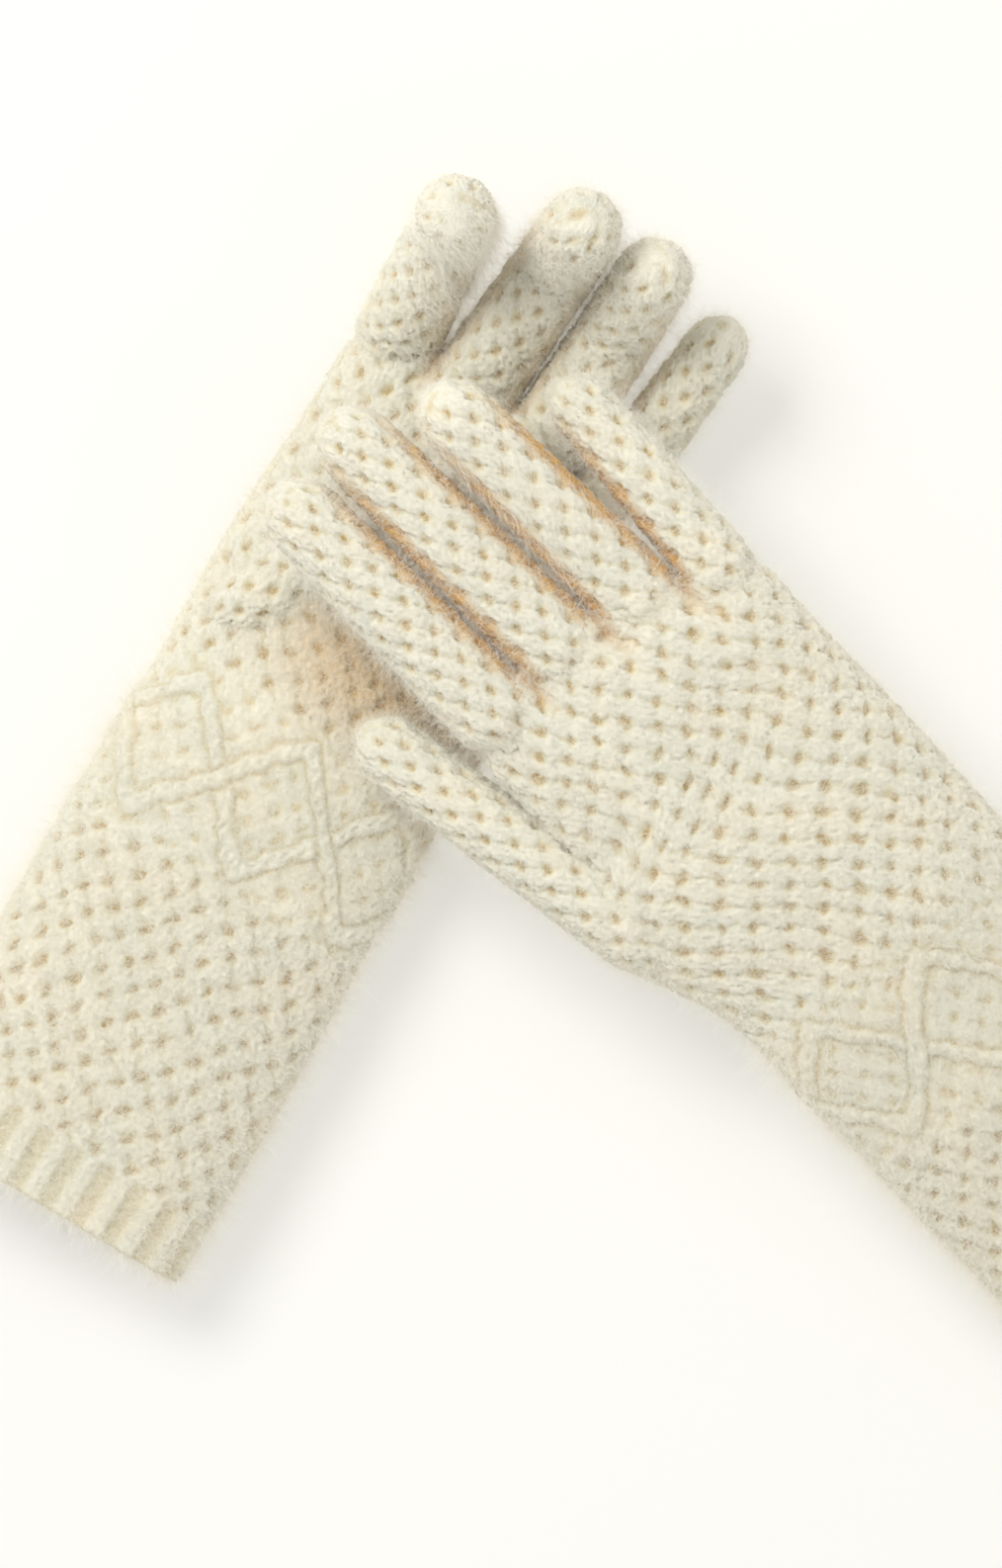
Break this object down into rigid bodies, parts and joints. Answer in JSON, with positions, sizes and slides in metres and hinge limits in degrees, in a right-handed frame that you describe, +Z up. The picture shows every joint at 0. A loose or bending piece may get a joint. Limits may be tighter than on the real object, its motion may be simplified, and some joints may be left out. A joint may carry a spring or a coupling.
{
  "type": "pair of knitted gloves",
  "caption": "Pair of long full-finger knitted wool gloves with a diamond band and ribbed cuffs, lying crossed at the hands.",
  "frame": {"origin": "on the floor, at the middle of the pair seen from above", "axes": "+Z up from the floor, +Y towards the fingertips of the pair, +X to the right seen from above, towards the right glove's cuff"},
  "size_m": [0.3701, 0.31, 0.0785],
  "materials": {
    "moss_wool": "soft moss-stitch wool knit",
    "cable_wool": "wool knit with raised diamond cables",
    "rib_wool": "ribbed wool knit"
  },
  "bodies": {
    "left_palm": {"left_hand": "moss_wool"},
    "left_forearm": {"left_band": "cable_wool", "left_sleeve": "moss_wool", "left_cuff": "rib_wool"},
    "left_thumb": {"left_thumb_base": "moss_wool"},
    "left_thumb_end": {"left_thumb_tip": "moss_wool"},
    "left_index": {"left_index_base": "moss_wool"},
    "left_index_end": {"left_index_tip": "moss_wool"},
    "left_middle": {"left_middle_base": "moss_wool"},
    "left_middle_end": {"left_middle_tip": "moss_wool"},
    "left_ring": {"left_ring_base": "moss_wool"},
    "left_ring_end": {"left_ring_tip": "moss_wool"},
    "left_little": {"left_little_base": "moss_wool"},
    "left_little_end": {"left_little_tip": "moss_wool"},
    "right_palm": {"right_hand": "moss_wool"},
    "right_forearm": {"right_band": "cable_wool", "right_sleeve": "moss_wool", "right_cuff": "rib_wool"},
    "right_thumb": {"right_thumb_base": "moss_wool"},
    "right_thumb_end": {"right_thumb_tip": "moss_wool"},
    "right_index": {"right_index_base": "moss_wool"},
    "right_index_end": {"right_index_tip": "moss_wool"},
    "right_middle": {"right_middle_base": "moss_wool"},
    "right_middle_end": {"right_middle_tip": "moss_wool"},
    "right_ring": {"right_ring_base": "moss_wool"},
    "right_ring_end": {"right_ring_tip": "moss_wool"},
    "right_little": {"right_little_base": "moss_wool"},
    "right_little_end": {"right_little_tip": "moss_wool"}
  },
  "joints": [
    {"name": "pair_lift", "type": "slide", "parent": "left_palm", "child": "right_palm", "axis": [0, 0, 1], "range_m": [0, 0.12]},
    {"name": "left_wrist", "type": "hinge", "parent": "left_palm", "child": "left_forearm", "pos_m": [-0.0825, 0.00813, 0.029], "axis": [-0.859, 0.512, 0], "range_deg": [0, 20]},
    {"name": "left_thumb_root", "type": "hinge", "parent": "left_palm", "child": "left_thumb", "pos_m": [-0.0864, 0.05237, 0.024], "axis": [0, 0, 1], "range_deg": [0, 8]},
    {"name": "left_thumb_middle", "type": "hinge", "parent": "left_thumb", "child": "left_thumb_end", "pos_m": [-0.04405, 0.07604, 0.0361], "axis": [0, 0, 1], "range_deg": [-8, 5]},
    {"name": "left_index_knuckle", "type": "hinge", "parent": "left_palm", "child": "left_index", "pos_m": [-0.054, 0.11688, 0.015], "axis": [0.8926, -0.4509, 0], "range_deg": [-40, 14]},
    {"name": "left_index_middle", "type": "hinge", "parent": "left_index", "child": "left_index_end", "pos_m": [-0.03999, 0.14461, 0.04107], "axis": [0.8926, -0.4509, 0], "range_deg": [-48, 16]},
    {"name": "left_middle_knuckle", "type": "hinge", "parent": "left_palm", "child": "left_middle", "pos_m": [-0.03416, 0.10505, 0.015], "axis": [0.8171, -0.5764, 0], "range_deg": [-30, 8]},
    {"name": "left_middle_middle", "type": "hinge", "parent": "left_middle", "child": "left_middle_end", "pos_m": [-0.01287, 0.13522, 0.03632], "axis": [0.8171, -0.5764, 0], "range_deg": [-43, 15]},
    {"name": "left_ring_knuckle", "type": "hinge", "parent": "left_palm", "child": "left_ring", "pos_m": [-0.01705, 0.08903, 0.015], "axis": [0.8348, -0.5505, 0], "range_deg": [-22, 6]},
    {"name": "left_ring_middle", "type": "hinge", "parent": "left_ring", "child": "left_ring_end", "pos_m": [0.00259, 0.11881, 0.02942], "axis": [0.8348, -0.5505, 0], "range_deg": [-35, 13]},
    {"name": "left_little_knuckle", "type": "hinge", "parent": "left_palm", "child": "left_little", "pos_m": [-0.00396, 0.07191, 0.015], "axis": [0.8049, -0.5934, 0], "range_deg": [-5, 18]},
    {"name": "left_little_middle", "type": "hinge", "parent": "left_little", "child": "left_little_end", "pos_m": [0.01479, 0.09735, 0.01776], "axis": [0.8049, -0.5934, 0], "range_deg": [-17, 24]},
    {"name": "right_wrist", "type": "hinge", "parent": "right_palm", "child": "right_forearm", "pos_m": [0.06763, -0.03551, 0.04839], "axis": [-0.7193, -0.6947, 0], "range_deg": [0, 20]},
    {"name": "right_thumb_root", "type": "hinge", "parent": "right_palm", "child": "right_thumb", "pos_m": [0.00219, -0.03253, 0.0416], "axis": [0.1063, -0.11, 0.9882], "range_deg": [0, 14]},
    {"name": "right_thumb_middle", "type": "hinge", "parent": "right_thumb", "child": "right_thumb_end", "pos_m": [-0.03794, -0.00271, 0.04132], "axis": [0.1063, -0.11, 0.9882], "range_deg": [-8, 16]},
    {"name": "right_index_knuckle", "type": "hinge", "parent": "right_palm", "child": "right_index", "pos_m": [-0.03044, 0.02113, 0.05108], "axis": [0.7145, 0.6996, 0.0011], "range_deg": [0, 38]},
    {"name": "right_index_middle", "type": "hinge", "parent": "right_index", "child": "right_index_end", "pos_m": [-0.05868, 0.04996, 0.05518], "axis": [0.7145, 0.6996, 0.0011], "range_deg": [0, 40]},
    {"name": "right_middle_knuckle", "type": "hinge", "parent": "right_palm", "child": "right_middle", "pos_m": [-0.01383, 0.03717, 0.05108], "axis": [0.7048, 0.7094, 0.0032], "range_deg": [0, 38]},
    {"name": "right_middle_middle", "type": "hinge", "parent": "right_middle", "child": "right_middle_end", "pos_m": [-0.04393, 0.06706, 0.05539], "axis": [0.7048, 0.7094, 0.0032], "range_deg": [0, 40]},
    {"name": "right_ring_knuckle", "type": "hinge", "parent": "right_palm", "child": "right_ring", "pos_m": [0.00608, 0.04953, 0.05032], "axis": [0.7048, 0.7094, 0.0032], "range_deg": [0, 38]},
    {"name": "right_ring_middle", "type": "hinge", "parent": "right_ring", "child": "right_ring_end", "pos_m": [-0.02091, 0.07631, 0.0562], "axis": [0.7048, 0.7094, 0.0032], "range_deg": [0, 40]},
    {"name": "right_little_knuckle", "type": "hinge", "parent": "right_palm", "child": "right_little", "pos_m": [0.02596, 0.05773, 0.04909], "axis": [0.761, 0.6487, -0.0096], "range_deg": [0, 38]},
    {"name": "right_little_middle", "type": "hinge", "parent": "right_little", "child": "right_little_end", "pos_m": [0.00542, 0.08185, 0.05063], "axis": [0.761, 0.6487, -0.0096], "range_deg": [0, 40]}
  ]
}
